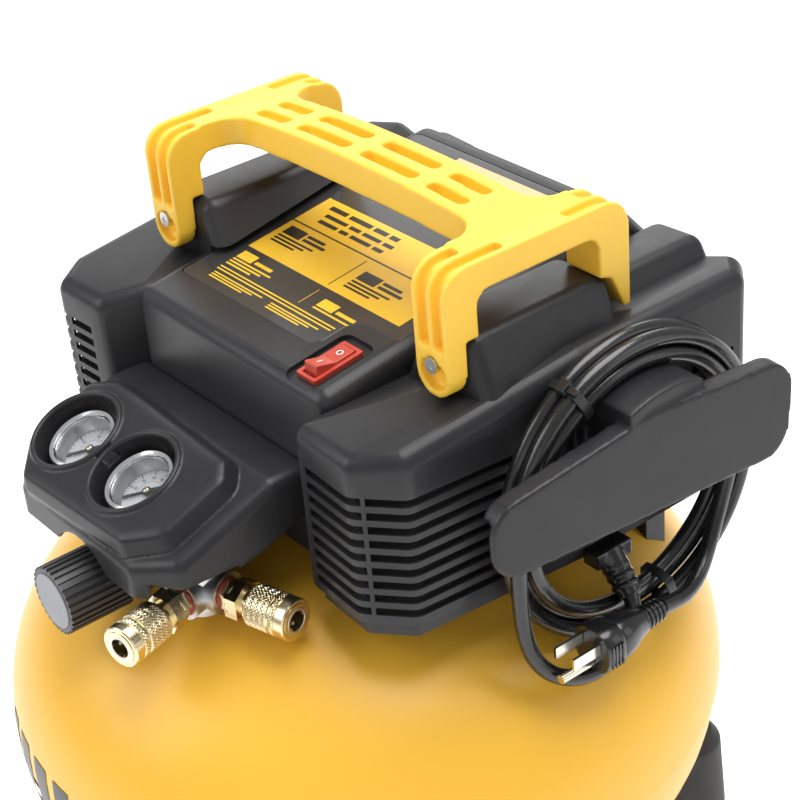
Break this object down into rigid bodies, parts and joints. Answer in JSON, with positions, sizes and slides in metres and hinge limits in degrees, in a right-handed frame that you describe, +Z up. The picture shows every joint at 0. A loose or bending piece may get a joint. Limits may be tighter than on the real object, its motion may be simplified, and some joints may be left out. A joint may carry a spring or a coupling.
{
  "type": "air compressor",
  "caption": "Pancake air compressor: domed flat tank on rubber feet, moulded pump cover with louvres, gauge panel, regulator, outlet couplers, carrying handle and wound mains cord.",
  "frame": {"origin": "on the floor, under the vertical axis of the tank", "axes": "+Z up; -Y is the control side with the gauges; +X is on the right hand of a person facing the controls, where the cord is wound"},
  "size_m": [0.4059, 0.406, 0.488],
  "materials": {
    "tank_paint": "gloss yellow enamel",
    "steel": "zinc plated",
    "foot_rubber": "matte moulded rubber",
    "copper": "drawn copper",
    "cast_alloy": "cast and machined",
    "rotor_iron": "machined",
    "pale_plastic": "natural nylon",
    "black_plastic": "satin moulded, fine texture",
    "knob_plastic": "ribbed",
    "grey_plastic": "satin",
    "brass": "pale machined",
    "dial_white": "printed",
    "chrome": "polished",
    "clear_lens": "clear",
    "needle_black": "painted",
    "label_face": "printed sheet",
    "switch_red": "translucent red",
    "handle_yellow": "satin moulded",
    "cord_black": "glossy jacket",
    "tie_black": "nylon"
  },
  "bodies": {
    "base": {"tank_upper": "tank_paint", "tank_lower": "tank_paint", "tank_seam": "tank_paint", "tank_ports": "steel", "rubber_feet": "foot_rubber", "foot_studs": "steel", "pump_base": "steel", "isolators": "foot_rubber", "motor_stator": "steel", "motor_windings": "copper", "motor_end_frames": "cast_alloy", "crankcase": "cast_alloy", "piston_rod": "cast_alloy", "cylinder_barrel": "cast_alloy", "valve_plate": "steel", "cylinder_head": "cast_alloy", "head_bolts": "steel", "intake_filter": "black_plastic", "discharge_tube": "copper", "check_valve": "brass", "pressure_switch": "black_plastic", "feed_pipe": "steel", "unloader_tube": "pale_plastic", "manifold": "cast_alloy", "regulator_body": "black_plastic", "relief_body": "brass", "gauge_cases": "black_plastic", "gauge_dials": "dial_white", "gauge_bezels": "chrome", "gauge_lenses": "clear_lens", "panel_cover": "black_plastic", "outlet_nipples": "brass", "coupler_bodies": "brass", "coupler_valves": "brass", "skirt_frame": "black_plastic", "shroud": "black_plastic", "label_plate": "label_face", "switch_bezel": "switch_red", "handle": "handle_yellow", "handle_screws": "steel", "cord_wrap": "black_plastic", "cord_gland": "cord_black", "drain_body": "brass", "cord_tube": "cord_black", "cord_coil": "cord_black", "cord_tail": "cord_black", "cord_ties": "tie_black", "plug_body": "cord_black", "plug_prongs": "brass"},
    "knob": {"regulator_knob": "knob_plastic", "knob_cap": "grey_plastic"},
    "relief": {"relief_pull": "steel"},
    "needle_l": {"needle_left": "needle_black"},
    "needle_r": {"needle_right": "needle_black"},
    "sleeve_f": {"sleeve_front": "brass"},
    "sleeve_s": {"sleeve_side": "brass"},
    "rocker": {"switch_rocker": "switch_red"},
    "rotor": {"motor_rotor": "rotor_iron", "motor_fan": "pale_plastic"},
    "drain": {"drain_tee": "brass"}
  },
  "joints": [
    {"name": "rotor_spin", "type": "hinge", "parent": "base", "child": "rotor", "pos_m": [0, 0.062, 0.358], "axis": [1, 0, 0], "continuous": true},
    {"name": "regulator_turn", "type": "hinge", "parent": "base", "child": "knob", "pos_m": [-0.017, -0.16, 0.3], "axis": [0, -1, 0], "range_deg": [-900, 0]},
    {"name": "relief_lift", "type": "slide", "parent": "base", "child": "relief", "axis": [0, 1, 0], "range_m": [0, 0.003], "stiffness_N_per_m": 1500, "springref_m": -0.004},
    {"name": "tank_gauge", "type": "hinge", "parent": "base", "child": "needle_l", "pos_m": [-0.061, -0.1255, 0.359], "axis": [0, -0.3746, 0.9272], "range_deg": [-270, 0], "stiffness_Nm_per_rad": 0.00002, "springref_deg": 28.65},
    {"name": "outlet_gauge", "type": "hinge", "parent": "base", "child": "needle_r", "pos_m": [-0.005, -0.1255, 0.359], "axis": [0, -0.3746, 0.9272], "range_deg": [-270, 0], "stiffness_Nm_per_rad": 0.00002, "springref_deg": 28.65},
    {"name": "front_sleeve", "type": "slide", "parent": "base", "child": "sleeve_f", "axis": [-0.2588, 0.9659, 0], "range_m": [0, 0.004], "stiffness_N_per_m": 1500, "springref_m": -0.005},
    {"name": "side_sleeve", "type": "slide", "parent": "base", "child": "sleeve_s", "axis": [-0.9659, -0.2588, 0], "range_m": [0, 0.004], "stiffness_N_per_m": 1500, "springref_m": -0.005},
    {"name": "power_switch", "type": "hinge", "parent": "base", "child": "rocker", "pos_m": [0.054, -0.03964, 0.41012], "axis": [1, 0, 0], "range_deg": [0, 20]},
    {"name": "drain_turn", "type": "hinge", "parent": "base", "child": "drain", "pos_m": [0, -0.06, 0.03], "axis": [0, 0, 1], "range_deg": [-540, 0]}
  ]
}
